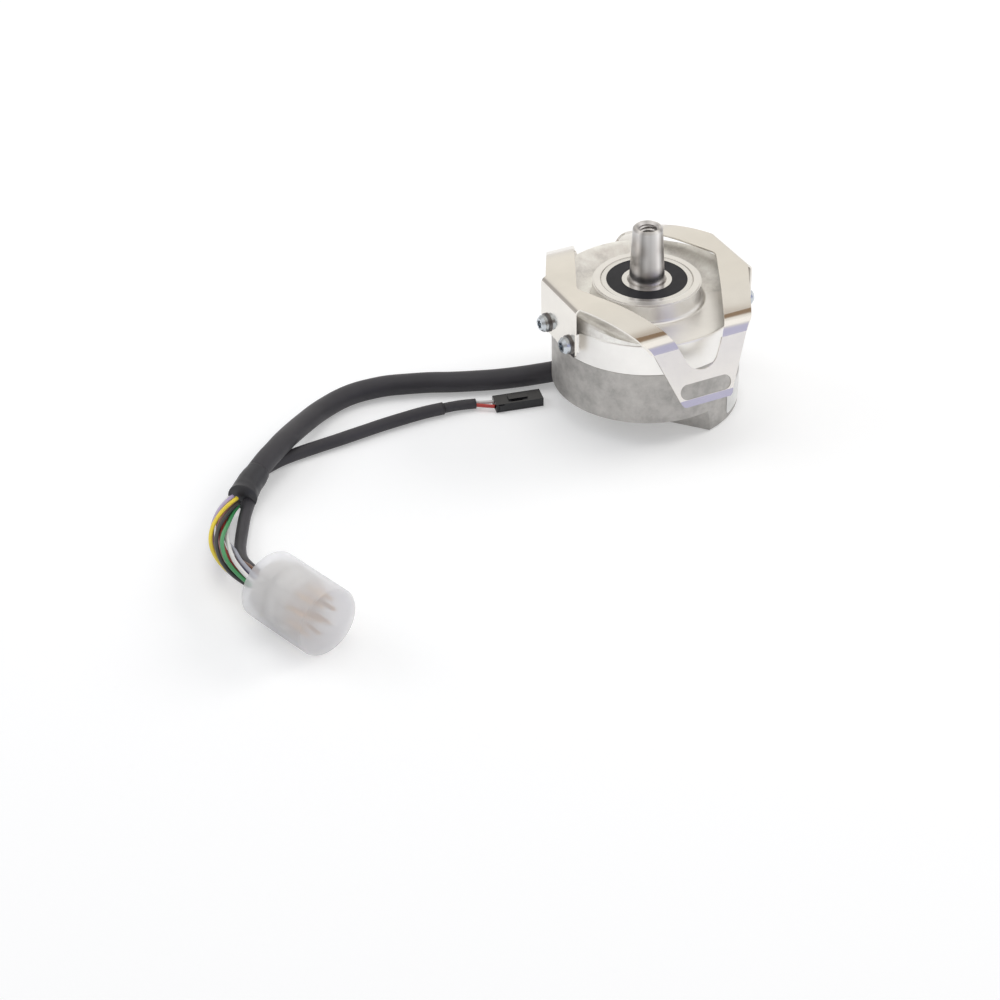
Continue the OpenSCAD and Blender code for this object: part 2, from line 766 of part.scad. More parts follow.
module board_screws() {
    color("#b9bcbf") for (d = pillar_dirs) at(pillar_r, d, board_z)
        rotate([180, 0, 0]) pan_screw(1, 5, 1.6, 1.1);
}

// ------------------------------------------------------ cable and its ends

// puts children on the outlet's axis, with +Z pointing out of the cover
module on_outlet() {
    rotate([0, 0, outlet_dir]) translate([0, -outlet_off, outlet_z])
        rotate([0, 90, 0]) children();
}

module cable_grommet() {
    color("#202022") {
        outlet_seat(outlet_r - 0.02, 12, foot_back - 14.02, outlet_flat + 0.02);
        on_outlet() translate([0, 0, 13])
            cylinder(r = outlet_neck - 0.02, h = outlet_face - 13);
    }
}

// a saddle that holds the cable's end down inside the cover
module cable_clamp() {
    color("#9a9c9e") intersection() {
        on_outlet() translate([0, 0, 5.4]) difference() {
            cylinder(r = 2.9, h = 5);
            translate([0, 0, -1]) cylinder(r = 2, h = 7);
        }
        translate([-60, -60, floor_t + 0.02]) cube([120, 120, 30]);
    }
}

module main_cable() {
    color("#2b2a2d") tube(cable_route, cable_d / 2, 12);
}

module cable_shrink() {
    color("#232326") {
        tube(shrink_route, shrink_radii, 12);
        tube(shrink_branch, shrink_branch_r, 8);
    }
}

module wire_bundle() {
    color("#b7a58f") tube(bundle_route, bundle_d / 2, 10);
}

module sensor_tail() {
    color("#2b2a2d") tube(tail_route, tail_d / 2, 8);
}

module sensor_lead() {
    color("#2b2a2d") tube(lead_route, lead_d / 2, 8);
}

module lead_sleeve() {
    color("#2b2a2d") tube(sleeve_route, sleeve_d / 2, 8);
}

module lead_wires() {
    side = unit(cross([0, 0, 1], wire_route[2] - wire_route[0]));
    color("#7a4a34") for (s = [-1, 1])
        tube([for (i = [0 : 2]) wire_route[i] + s * (0.65 + 0.3 * i) * side], wire_r);
}

// puts children in the plug's own frame: +X from its wires to its mouth
module in_plug() {
    translate(plug_pos) rotate([0, 0, plug_dir]) children();
}

module plug_housing() {
    wall = 0.55;
    color("#232225") in_plug() difference() {
        union() {
            translate([0, -plug_size[1] / 2, 0]) cube(plug_size);
            translate([0.8, -plug_size[1] / 2 - 0.35, 0.3])
                cube([1.6, plug_size[1] + 0.7, plug_size[2] - 0.6]);
            translate([4, -1.1, plug_size[2] - 0.2]) cube([5.5, 2.2, 0.6]);
        }
        for (s = [-1, 1]) {
            translate([-1, s * plug_pitch / 2 - 0.9, wall])
                cube([plug_size[0] + 2, 1.8, plug_size[2] - 2 * wall - 0.1]);
            translate([4.6, s * plug_pitch / 2 - 0.6, plug_size[2] - 1])
                cube([3.4, 0.5, 3]);
        }
    }
}

module plug_contacts() {
    color("#c9a24a") in_plug() for (s = [-1, 1])
        translate([3.4, s * plug_pitch / 2, plug_size[2] / 2]) difference() {
            translate([0, -0.8, -0.65]) cube([9.6, 1.6, 1.3]);
            translate([4, -0.5, -0.35]) cube([8, 1, 0.7]);
        }
}

// puts children on the cap's axis, with +Z from its rear edge to its front
module on_cap_axis() {
    translate(cap_pos) rotate([0, 0, cap_dir]) rotate([0, 90, 0]) children();
}

module contact_insert() {
    color("#d8d4c8") on_cap_axis() translate([0, 0, insert_start]) difference() {
        union() {
            cylinder(r = insert_r - 0.7, h = insert_len);
            translate([0, 0, 3]) cylinder(r = insert_r, h = 2);
            translate([0, 0, 8]) cylinder(r = insert_r, h = 2);
        }
        for (a = [40, 220]) rotate([0, 0, a]) translate([insert_r - 1.2, -1, -1])
            cube([4, 2, insert_len + 2]);
    }
}

module insert_contacts() {
    front = insert_start + insert_len;
    color("#cfa653") on_cap_axis() {
        for (k = [0 : contact_count - 1]) at(contact_ring, 360 * k / contact_count, front) {
            cylinder(r = contact_r, h = 5);
            translate([0, 0, 5]) sphere(r = contact_r, $fn = 24);
        }
        for (k = [0 : 2]) at(2.4, 120 * k + 20, front) {
            cylinder(r = contact_r, h = 5);
            translate([0, 0, 5]) sphere(r = contact_r, $fn = 24);
        }
    }
}

module protective_cap() {
    edge = 0.5;
    r = cap_d / 2;
    color("#eef0ee", 0.5) on_cap_axis() difference() {
        rotate_extrude() {
            square([r, cap_len - edge]);
            square([r - edge, cap_len]);
            translate([r - edge, cap_len - edge]) circle(r = edge);
        }
        translate([0, 0, -1]) cylinder(r = r - cap_wall, h = cap_len + 0.1);
        translate([0, 0, -0.01]) cylinder(r1 = r - cap_wall + 0.4, r2 = r - cap_wall, h = 0.8);
    }
}

flange();
rear_cover();
cover_gasket();
cover_screws();
stator_coupling();
coupling_washers();
coupling_screws();
shaft();
shaft_clip();
front_bearing_outer_ring();
front_bearing_inner_ring();
front_bearing_balls();
front_bearing_cage();
front_bearing_seals();
rear_bearing_outer_ring();
rear_bearing_inner_ring();
rear_bearing_balls();
rear_bearing_cage();
preload_spring();
disc_hub();
code_disc();
disc_clamp();
lamp_holder();
lamp_lens();
scanning_plate();
detector();
circuit_board();
board_parts();
board_socket();
board_pillars();
board_screws();
cable_clamp();
cable_grommet();
main_cable();
cable_shrink();
wire_bundle();
sensor_tail();
sensor_lead();
lead_sleeve();
lead_wires();
plug_housing();
plug_contacts();
contact_insert();
insert_contacts();
protective_cap();
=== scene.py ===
import json
import math
import random

import bpy
import bmesh
from mathutils import Matrix, Vector


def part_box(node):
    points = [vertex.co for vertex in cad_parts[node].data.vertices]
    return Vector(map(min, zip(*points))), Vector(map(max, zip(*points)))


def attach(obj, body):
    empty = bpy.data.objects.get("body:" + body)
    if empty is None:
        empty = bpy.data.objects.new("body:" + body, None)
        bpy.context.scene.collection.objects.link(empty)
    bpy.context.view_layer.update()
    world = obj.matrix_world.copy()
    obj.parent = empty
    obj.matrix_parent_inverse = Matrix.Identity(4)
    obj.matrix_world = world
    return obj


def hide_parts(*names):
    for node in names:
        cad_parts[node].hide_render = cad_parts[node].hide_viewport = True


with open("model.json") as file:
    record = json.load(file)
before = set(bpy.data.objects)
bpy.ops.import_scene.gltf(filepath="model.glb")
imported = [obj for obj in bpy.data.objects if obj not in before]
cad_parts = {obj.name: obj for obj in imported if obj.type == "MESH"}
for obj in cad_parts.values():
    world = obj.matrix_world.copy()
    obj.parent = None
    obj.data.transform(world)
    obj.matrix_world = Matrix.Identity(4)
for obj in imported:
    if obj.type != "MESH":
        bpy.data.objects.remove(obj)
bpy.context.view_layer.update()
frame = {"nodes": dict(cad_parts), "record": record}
NODES = frame["nodes"]
MM = 0.001

# ---------------------------------------------------------------- camera

# The camera was fitted to the photo in axes that look along y. TURN brings
# them to the part's own. Lengths are in mm.
PITCH = math.radians(35.153)
ROLL = math.radians(-1.145)
TURN_ANGLE = math.radians(25.1)
TURN = Matrix.Rotation(-TURN_ANGLE, 3, "Z")
EYE = Vector((-41.96, -579.32, 364.38))
EYE_RISE = Vector((0, 0, 7.05))
LENS, SENSOR = 86.4, 36


def make_camera():
    level = Vector((1, 0, 0))
    rise = Vector((0, math.sin(PITCH), math.cos(PITCH)))
    ahead = Vector((0, math.cos(PITCH), -math.sin(PITCH)))
    right = math.cos(ROLL) * level + math.sin(ROLL) * rise
    up = -math.sin(ROLL) * level + math.cos(ROLL) * rise
    axes = [TURN @ v for v in (right, up, -ahead)]
    place = TURN @ EYE + EYE_RISE
    data = bpy.data.cameras.new("camera")
    data.lens = LENS
    data.sensor_width = SENSOR
    data.clip_start = 0.01
    data.clip_end = 50
    cam = bpy.data.objects.new("camera", data)
    m = Matrix.Identity(4)
    for i, a in enumerate(axes):
        for j in range(3):
            m[j][i] = a[j]
    m.translation = place * MM
    cam.matrix_world = m
    bpy.context.collection.objects.link(cam)
    bpy.context.scene.camera = cam


make_camera()

# -------------------------------------------------------- node materials


class Shader:
    """A node material with short calls for what most materials here need."""

    def __init__(self, name, color, metallic, rough, **sockets):
        self.mat = bpy.data.materials.new(name)
        self.mat.use_nodes = True
        self.tree = self.mat.node_tree
        self.bsdf = self.tree.nodes["Principled BSDF"]
        self.put("Base Color", (*color, 1))
        self.put("Metallic", metallic)
        self.put("Roughness", rough)
        for key, value in sockets.items():
            self.put(key.replace("_", " "), value)
        self.color = color
        self.coord = self.node("ShaderNodeTexCoord").outputs["Object"]
        self.height = None

    def put(self, socket, value):
        self.bsdf.inputs[socket].default_value = value

    def node(self, kind, **values):
        n = self.tree.nodes.new(kind)
        for key, value in values.items():
            if hasattr(n, key):
                setattr(n, key, value)
            else:
                n.inputs[key.replace("_", " ")].default_value = value
        return n

    def link(self, a, b):
        self.tree.links.new(a, b)

    def stretch(self, scale):
        m = self.node("ShaderNodeMapping", Scale=scale)
        self.link(self.coord, m.inputs["Vector"])
        return m.outputs["Vector"]

    def noise(self, scale, detail=4, rough=0.6, vector=None):
        n = self.node("ShaderNodeTexNoise", Scale=scale, Detail=detail, Roughness=rough)
        self.link(vector or self.coord, n.inputs["Vector"])
        return n.outputs["Fac"]

    def ramp(self, fac, stops):
        r = self.node("ShaderNodeValToRGB")
        e = r.color_ramp.elements
        while len(e) < len(stops):
            e.new(0.5)
        for el, (pos, col) in zip(e, stops):
            el.position = pos
            el.color = (*col, 1)
        self.link(fac, r.inputs["Fac"])
        return r.outputs["Color"]

    def math(self, op, a, b=None):
        m = self.node("ShaderNodeMath", operation=op)
        for i, v in enumerate((a, b)):
            if v is None:
                continue
            if isinstance(v, (int, float)):
                m.inputs[i].default_value = v
            else:
                self.link(v, m.inputs[i])
        return m.outputs[0]

    def tint(self, fac, stops):
        """Base colour from a ramp of multiples of the material's colour."""
        colors = [(pos, tuple(min(1, c * k) for c in self.color)) for pos, k in stops]
        self.link(self.ramp(fac, colors), self.bsdf.inputs["Base Color"])

    def roughness(self, fac, low, high):
        r = self.node("ShaderNodeMapRange")
        r.inputs["To Min"].default_value = low
        r.inputs["To Max"].default_value = high
        self.link(fac, r.inputs["Value"])
        self.link(r.outputs["Result"], self.bsdf.inputs["Roughness"])

    def bump(self, fac, strength, distance):
        b = self.node("ShaderNodeBump", Strength=strength, Distance=distance)
        self.link(fac, b.inputs["Height"])
        if self.height is not None:
            self.link(self.height, b.inputs["Normal"])
        self.height = b.outputs["Normal"]
        self.link(self.height, self.bsdf.inputs["Normal"])

    def axis_radius(self):
        """Distance from the shaft's axis, in metres."""
        parts = self.node("ShaderNodeSeparateXYZ")
        self.link(self.coord, parts.inputs[0])
        x = self.math("POWER", parts.outputs["X"], 2)
        y = self.math("POWER", parts.outputs["Y"], 2)
        return self.math("SQRT", self.math("ADD", x, y)), parts.outputs["Z"]

    def round_axis(self):
        """Part of a turn round the shaft's axis, from 0 to 1."""
        parts = self.node("ShaderNodeSeparateXYZ")
        self.link(self.coord, parts.inputs[0])
        angle = self.math("ARCTAN2", parts.outputs["Y"], parts.outputs["X"])
        return self.math("FRACT", self.math("ADD", self.math("DIVIDE", angle, 2 * math.pi), 1.0))


# Streaks painted on the shaft: degrees round it, share of its colour. In the photo
# they are reflections. Painted ones turn with the shaft and show in every light.
PAINTED_STREAKS = [(0, 0.9), (35, 1.15), (70, 0.7), (105, 1.1), (140, 0.75), (176, 0.85),
                   (190, 0.95), (205, 1.25), (221, 0.50), (238, 0.72), (252, 0.66),
                   (268, 0.85), (283, 1.25), (305, 0.55), (330, 1.0)]


def turned_metal(name, color, rough, pitch=0.00022, strength=0.25, grooves=0.0,
                 painted_reflections=None):
    """Metal off a lathe: grooves round the shaft's axis draw its glints out."""
    s = Shader(name, color, 1.0, rough, Anisotropic=grooves)
    round_axis = s.node("ShaderNodeTangent", direction_type="RADIAL", axis="Z")
    s.link(round_axis.outputs[0], s.bsdf.inputs["Tangent"])
    r, z = s.axis_radius()
    ring = s.math("ADD", r, s.math("MULTIPLY", s.noise(60, 2), pitch * 0.8))
    wave = s.math("SINE", s.math("MULTIPLY", s.math("ADD", ring, z), 2 * math.pi / pitch))
    s.bump(wave, strength, 0.000012)
    # Painted reflections: lighter and darker streaks of colour by angle round the axis, standing
    # in for reflected light.
    if painted_reflections:
        s.tint(s.round_axis(), [(a / 360, k) for a, k in painted_reflections] + [(1.0, painted_reflections[0][1])])
    else:
        s.tint(s.noise(55, 5), [(0.3, 0.93), (0.5, 1.0), (0.75, 1.05)])
    s.roughness(s.noise(140, 4), rough * 0.8, rough * 1.3)
    return s.mat


def cast_metal(name, color, rough=0.5):
    s = Shader(name, color, 0.75, rough)
    s.tint(s.noise(150, 8, 0.72), [(0.36, 0.80), (0.5, 1.0), (0.64, 1.16)])
    s.roughness(s.noise(260, 4), rough * 0.85, rough * 1.25)
    s.bump(s.noise(900, 4, 0.7), 0.35, 0.00012)
    s.bump(s.noise(160, 3), 0.25, 0.0002)
    return s.mat


def sheet_metal(name, color, rough):
    s = Shader(name, color, 1.0, rough)
    grain = s.stretch((260, 9000, 9000))
    s.bump(s.noise(1.0, 3, vector=grain), 0.06, 0.00001)
    s.tint(s.noise(80, 5), [(0.3, 0.95), (0.55, 1.0), (0.8, 1.04)])
    s.roughness(s.noise(220, 5, 0.7), rough * 0.7, rough * 1.5)
    return s.mat


def plain_metal(name, color, rough):
    s = Shader(name, color, 1.0, rough)
    s.tint(s.noise(150, 4), [(0.3, 0.9), (0.6, 1.0), (0.8, 1.06)])
    s.roughness(s.noise(500, 4), rough * 0.7, rough * 1.4)
    s.bump(s.noise(1000, 3), 0.12, 0.00002)
    return s.mat


def plastic(name, color, rough, grain=700, depth=0.00003, **sockets):
    s = Shader(name, color, 0.0, rough, **sockets)
    s.tint(s.noise(grain * 0.2, 4), [(0.3, 0.88), (0.55, 1.0), (0.8, 1.1)])
    s.roughness(s.noise(grain * 0.5, 3), rough * 0.8, rough * 1.2)
    s.bump(s.noise(grain, 4), 0.25, depth)
    return s.mat


def milky_plastic(name, color):
    """Thin cloudy plastic: half of the light goes straight on through it."""
    s = Shader(name, color, 0.0, 0.5, Transmission_Weight=0.5, IOR=1.2)
    s.roughness(s.noise(200, 3), 0.4, 0.55)
    clear = s.node("ShaderNodeBsdfTransparent", Color=(0.97, 0.97, 0.98, 1))
    mix = s.node("ShaderNodeMixShader")
    mix.inputs[0].default_value = 0.5
    s.link(clear.outputs[0], mix.inputs[1])
    s.link(s.bsdf.outputs[0], mix.inputs[2])
    s.link(mix.outputs[0], s.tree.nodes["Material Output"].inputs["Surface"])
    return s.mat


MATS = {
    "machined_alloy": turned_metal("machined_alloy", (0.90, 0.885, 0.86), 0.30,
                                   grooves=0.6),
    "cast_alloy": cast_metal("cast_alloy", (0.50, 0.485, 0.465)),
    "pale_casting": cast_metal("pale_casting", (0.88, 0.86, 0.82), 0.40),
    "sheet_steel": sheet_metal("sheet_steel", (0.82, 0.79, 0.74), 0.13),
    # The shaft's steel has reflections painted into its colour as streaks round its axis.
    "ground_steel": turned_metal("ground_steel", (0.74, 0.72, 0.71), 0.30, 0.0004, 0.02,
                                 grooves=0.92, painted_reflections=PAINTED_STREAKS),
    "bearing_steel": turned_metal("bearing_steel", (0.80, 0.79, 0.77), 0.18, 0.0005, 0.08,
                                  grooves=0.5),
    "dark_steel": plain_metal("dark_steel", (0.20, 0.19, 0.19), 0.38),
    "zinc": plain_metal("zinc", (0.60, 0.64, 0.68), 0.24),
    "brass": plain_metal("brass", (0.78, 0.52, 0.30), 0.25),
    "rubber": plastic("rubber", (0.014, 0.014, 0.018), 0.5, Specular_IOR_Level=0.3),
    "cable_sheath": plastic("cable_sheath", (0.050, 0.048, 0.054), 0.5, 420, 0.00006,
                            Specular_IOR_Level=0.4),
    "shrink_sleeve": plastic("shrink_sleeve", (0.040, 0.040, 0.045), 0.42, 260, 0.00012,
                             Specular_IOR_Level=0.45),
    "black_plastic": plastic("black_plastic", (0.010, 0.010, 0.013), 0.3),
    "white_plastic": plastic("white_plastic", (0.72, 0.69, 0.63), 0.45),
    "plate_white": plastic("plate_white", (0.86, 0.86, 0.84), 0.35, 900, 0.000008),
    "wire_cover": plastic("wire_cover", (0.5, 0.42, 0.3), 0.35),
    "brown_wire": plastic("brown_wire", (0.16, 0.05, 0.03), 0.3),
    "green_board": plastic("green_board", (0.02, 0.14, 0.06), 0.35),
    "disc_glass": plastic("disc_glass", (0.75, 0.84, 0.88), 0.05,
                          Transmission_Weight=0.85, IOR=1.5),
    "lens_glass": plastic("lens_glass", (0.9, 0.95, 0.98), 0.03,
                          Transmission_Weight=0.95, IOR=1.5),
    "milky_plastic": milky_plastic("milky_plastic", (0.94, 0.94, 0.95)),
}
SLOT_OF = {p["node"]: p["material_slot"] for p in frame["record"]["subparts"]}
for node, obj in NODES.items():
    obj.data.materials.clear()
    obj.data.materials.append(MATS[SLOT_OF[node]])

# ------------------------------------------------------------ mesh tools


def add_mesh(name, verts, faces, mat, body, smooth=True):
    me = bpy.data.meshes.new(name)
    me.from_pydata([tuple(v) for v in verts], [], faces)
    me.update()
    bm = bmesh.new()
    bm.from_mesh(me)
    bmesh.ops.recalc_face_normals(bm, faces=bm.faces)
    bm.to_mesh(me)
    bm.free()
    for p in me.polygons:
        p.use_smooth = smooth
    ob = bpy.data.objects.new(name, me)
    bpy.context.collection.objects.link(ob)
    me.materials.append(mat)
    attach(ob, body)
    return ob


def spline(points, step):
    """Points step apart on a Catmull-Rom curve through the given ones."""
    p = [Vector(q) for q in points]
    p = [2 * p[0] - p[1]] + p + [2 * p[-1] - p[-2]]
    fine = []
    for i in range(1, len(p) - 2):
        a, b, c, d = p[i - 1:i + 3]
        for k in range(16):
            t = k / 16
            fine.append(0.5 * ((2 * b) + (c - a) * t
                               + (2 * a - 5 * b + 4 * c - d) * t * t
                               + (3 * b - a - 3 * c + d) * t ** 3))
    fine.append(p[-2])
    dist = [0.0]
    for a, b in zip(fine, fine[1:]):
        dist.append(dist[-1] + (b - a).length)
    n = max(2, round(dist[-1] / step))
    out, j = [], 0
    for k in range(n + 1):
        want = dist[-1] * k / n
        while j < len(dist) - 2 and dist[j + 1] < want:
            j += 1
        f = (want - dist[j]) / max(1e-12, dist[j + 1] - dist[j])
        out.append(fine[j].lerp(fine[j + 1], min(1, max(0, f))))
    return out


def along(values, t):
    """The value at t, from 0 to 1, of evenly spaced values."""
    x = t * (len(values) - 1)
    i = min(int(x), len(values) - 2)
    f = x - i
    f = f * f * (3 - 2 * f)
    return values[i] * (1 - f) + values[i + 1] * f


def frames(path):
    """A side and an up vector for each point of the path."""
    out = []
    for i in range(len(path)):
        t = (path[min(i + 1, len(path) - 1)] - path[max(i - 1, 0)]).normalized()
        side = Vector((0, 0, 1)).cross(t).normalized()
        out.append((t, side, t.cross(side)))
    return out


def tube(name, path, radius, mat, sides):
    """A tube along the path. radius(t, angle) gives its wall."""
    fr = frames(path)
    verts, faces = [], []
    n = len(path)
    for i, q in enumerate(path):
        for k in range(sides):
            a = 2 * math.pi * k / sides
            r = radius(i / (n - 1), a)
            verts.append(q + r * (math.cos(a) * fr[i][1] + math.sin(a) * fr[i][2]))
    for i in range(n - 1):
        for k in range(sides):
            a, b = i * sides + k, i * sides + (k + 1) % sides
            faces.append((a, b, b + sides, a + sides))
    faces.append(tuple(range(sides)))
    faces.append(tuple(range((n - 1) * sides, n * sides)))
    return add_mesh(name, verts, faces, mat, "stator")


def mm(points):
    return [Vector(p) * MM for p in points]


# ---------------------------------------------- cables, as in part.scad

CABLE_D, LEAD_D, SLEEVE_D, TAIL_D = 6.0, 3.6, 2.9, 3.1
CABLE_Z, LEAD_Z = CABLE_D / 2 + 0.05, LEAD_D / 2 + 0.05
OUT = Vector((math.cos(math.radians(171)), math.sin(math.radians(171)), 0))
EXIT = OUT * 16.5 + Vector((OUT.y, -OUT.x, 0)) * 13.7 + Vector((0, 0, 3.75))
CABLE = mm([EXIT, EXIT + 3.4 * OUT, (-21.1, 17.2, 3.65), (-24.9, 18.1, 3.5),
            (-29.6, 19.3, 3.3), (-36.1, 21.2, 3.15), (-42.4, 23.6, CABLE_Z),
            (-48.6, 26.1, CABLE_Z),
            (-54.5, 28.9, CABLE_Z), (-60.5, 31.1, CABLE_Z), (-65.9, 32.8, CABLE_Z),
            (-70.8, 33.4, CABLE_Z), (-75.6, 33.4, CABLE_Z), (-80.3, 32.5, CABLE_Z),
            (-85, 30.7, 3.1), (-89.7, 28, 3.5), (-94, 24.5, 4.3), (-98.2, 20.8, 5.2),
            (-102.1, 17.1, 6.1), (-105.8, 13.6, 6.75), (-109, 10.7, 6.9),
            (-112, 8.4, 6.7), (-114.5, 6.4, 6.3), (-116.6, 4.8, 5.8)])
SHRINK = mm([(-115.8, 5.1, 5.9), (-117.8, 3.5, 5.3), (-119.7, 2, 4.7),
             (-121.6, 0.2, 4.2), (-123.2, -2, 4.1)])
SHRINK_R = [3.3, 3.45, 3.6, 3.8, 3.9]
BRANCH = mm([(-113.5, 10, 2.2), (-115.4, 8.4, 2.4), (-117.6, 5.6, 2.8),
             (-119.4, 2.8, 3.2)])
LEAD = mm([(-114.6, 9.2, 2.3), (-112, 10.9, 2), (-109.2, 12.2, LEAD_Z),
           (-106.3, 13.1, LEAD_Z), (-102.8, 13.7, LEAD_Z), (-98.6, 14.2, LEAD_Z),
           (-93.4, 14.7, LEAD_Z), (-87.8, 15.1, LEAD_Z), (-81.5, 15.7, LEAD_Z),
           (-74.7, 16.4, LEAD_Z), (-67.8, 16.7, LEAD_Z), (-61.2, 16.8, LEAD_Z),
           (-55.9, 16.4, LEAD_Z)])
SLEEVE = mm([(-55.9, 16.4, LEAD_Z), (-51.1, 16, 1.65), (-46.4, 14.9, 1.5)])
PLUG_WIRES = mm([(-46.6, 14.9, 1.5), (-44, 13.6, 1.4), (-41.5, 12.4, 1.35)])
BUNDLE = mm([(-126, -2.9, 4.2), (-129.2, -6, 4.2), (-132.3, -10.6, 4.5),
             (-135, -16.4, 5.2), (-136.8, -22.8, 6.2), (-137.6, -29.6, 7.5),
             (-137.6, -36, 8.7), (-136.7, -41.4, 9.4), (-135.4, -46, 9.7),
             (-134.35, -49.35, 9.8)])
TAIL = mm([(-120.2, -0.1, 2.4), (-122.5, -4, 2.3), (-124.8, -7.8, 2.2),
           (-127.1, -12.2, 2.2), (-129.8, -17.9, 2.5), (-132.4, -24.8, 4),
           (-133.6, -30.3, 5.5), (-133.8, -35.3, 7), (-133, -40.8, 7.9),
           (-131.2, -46, 8.2), (-130.4, -47.85, 8.2)])


def flat_radius(r):
    return lambda t, a: r * MM


def uneven(r, size, seed, turns=3.0):
    """A radius with slow swells of a part of itself, as a slack sleeve has."""
    rnd = random.Random(seed)
    waves = [(rnd.randint(1, 3), rnd.uniform(2, 9) * turns, rnd.uniform(0, 6.28))
             for _ in range(5)]

    def radius(t, a):
        base = along(r, t) if isinstance(r, list) else r
        k = sum(math.sin(n * a + f * t + p) for n, f, p in waves) / 5
        return base * MM * (1 + size * k)
    return radius


cable_path = spline(CABLE, 0.0012)
main_cable = tube("main_cable_sheath", cable_path, uneven(CABLE_D / 2, 0.012, 3),
                  MATS["cable_sheath"], 24)
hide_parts("main_cable")

shrink_path = spline(SHRINK, 0.0005)
shrink = tube("shrink_sleeve_body", shrink_path, uneven(SHRINK_R, 0.045, 11, 2),
              MATS["shrink_sleeve"], 32)
branch = tube("shrink_sleeve_branch", spline(BRANCH, 0.0006), uneven(1.9, 0.03, 5),
              MATS["shrink_sleeve"], 20)
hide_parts("cable_shrink")

lead_path = spline(LEAD, 0.001)
lead = tube("sensor_lead_sheath", lead_path, uneven(LEAD_D / 2, 0.02, 21, 4),
            MATS["cable_sheath"], 20)
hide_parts("sensor_lead")
sleeve = tube("sensor_lead_sleeve", spline(SLEEVE, 0.0006), uneven(SLEEVE_D / 2, 0.02, 8),
              MATS["cable_sheath"], 18)
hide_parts("lead_sleeve")
tail_path = spline(TAIL, 0.001)
tail = tube("sensor_tail_sheath", tail_path,
            uneven([1.7, 1.65, 1.65, 1.6, 1.45, 1.2, 1.15], 0.02, 9),
            MATS["cable_sheath"], 20)
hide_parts("sensor_tail")

WIRE_COLORS = {
    "white": (0.78, 0.77, 0.74), "brown": (0.16, 0.07, 0.035),
    "green": (0.05, 0.30, 0.10), "yellow": (0.85, 0.66, 0.05),
    "grey": (0.36, 0.37, 0.42), "pink": (0.72, 0.36, 0.40),
    "blue": (0.10, 0.16, 0.45), "red": (0.55, 0.06, 0.05),
    "black": (0.02, 0.02, 0.022), "violet": (0.46, 0.38, 0.56),
}
WIRE_MATS = {k: plastic("wire_" + k, c, 0.34, 500, 0.00002)
             for k, c in WIRE_COLORS.items()}

# two short wires into the plug, further apart the nearer they come to it
PLUG_WIRE_R, PLUG_WIRE_APART, PLUG_WIRE_SPREAD = 0.52, 0.62, 0.32
side = (PLUG_WIRES[2] - PLUG_WIRES[0]).cross(Vector((0, 0, 1))).normalized()
for s, colour in ((1, "red"), (-1, "white")):
    pts = [q + s * (PLUG_WIRE_APART + PLUG_WIRE_SPREAD * i) * MM * side
           for i, q in enumerate(PLUG_WIRES)]
    tube("plug_wire_" + colour, spline(pts, 0.0004),
                           flat_radius(PLUG_WIRE_R), WIRE_MATS[colour], 14)
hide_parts("lead_wires")

# the single wires: a ring of OUTER ones and a core, twisted round the bundle's
# own line and slack in the middle
bundle_path = spline(BUNDLE, 0.0011)
bundle_frames = frames(bundle_path)
ORDER = ["yellow", "violet", "white", "brown", "grey", "white", "green", "black",
         "pink", "blue", "red"]
WIRE_R = 0.56
OUTER, RING_R, RING_SWELL, CORE_R = 8, 1.62, 0.75, 0.66
TWIST, TWIST_FROM = 4.3, 0.9


def wire_place(k, t):
    """How far wire k lies to the side of and above the bundle's line."""
    twist = TWIST * t + TWIST_FROM
    if k < OUTER:
        a = 2 * math.pi * k / OUTER + twist
        slack = 1 + 0.4 * math.sin(3.1 * k + 5 * t)
        r = RING_R + RING_SWELL * math.sin(math.pi * t) * slack
    else:
        a = 2 * math.pi * (k - OUTER) / (len(ORDER) - OUTER) + twist
        r = CORE_R
    return r * math.cos(a), r * math.sin(a)


for k, colour in enumerate(ORDER):
    pts = []
    for i, q in enumerate(bundle_path):
        x, y = wire_place(k, i / (len(bundle_path) - 1))
        pts.append(q + MM * (x * bundle_frames[i][1] + y * bundle_frames[i][2]))
    wire = tube("wire_%02d_%s" % (k + 1, colour), pts, flat_radius(WIRE_R),
                WIRE_MATS[colour], 12)
    if k == 0:
        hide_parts("wire_bundle")

# --------------------------------------- thread, bare plate and shoulder

BORE_R, THREAD_PITCH, THREAD_TURNS, THREAD_STEPS = 2.5, 1.0, 9, 24
THREAD_ROOT, THREAD_CREST = BORE_R + 0.1, BORE_R - 0.30
ROOT_HALF, CREST_HALF, THREAD_START = 0.42, 0.06, 1.1
SHAFT_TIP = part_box("shaft")[1][2]


def make_thread():
    """The ridge of the thread that the shaft's bore shows at its mouth."""
    section = [(THREAD_ROOT, -ROOT_HALF), (THREAD_CREST, -CREST_HALF),
               (THREAD_CREST, CREST_HALF), (THREAD_ROOT, ROOT_HALF)]
    verts, faces = [], []
    count = THREAD_TURNS * THREAD_STEPS
    top = SHAFT_TIP / MM - THREAD_START
    for i in range(count + 1):
        a = 2 * math.pi * i / THREAD_STEPS
        fade = min(1.0, 4 * i / THREAD_STEPS, 4 * (count - i) / THREAD_STEPS)
        for r, z in section:
            r = THREAD_ROOT - (THREAD_ROOT - r) * fade
            verts.append(Vector((r * math.cos(a), r * math.sin(a),
                                 top - THREAD_PITCH * i / THREAD_STEPS + z)) * MM)
    n = len(section)
    for i in range(count):
        for k in range(n):
            a, b = i * n + k, i * n + (k + 1) % n
            faces.append((a, b, b + n, a + n))
    faces.append(tuple(range(n)))
    faces.append(tuple(range(count * n, (count + 1) * n)))
    # The thread takes the shaft's steel, with its painted reflection streaks.
    add_mesh("bore_thread", verts, faces, MATS["ground_steel"], "rotor",
             smooth=False)


PLATE_FROM, PLATE_TO, PLATE_LOW, PLATE_HIGH = -59, -8, 1.8, 10.4
PLATE_GAP, PLATE_T, PLATE_ROUND, PLATE_STEPS = 0.01, 0.15, 1.2, 30


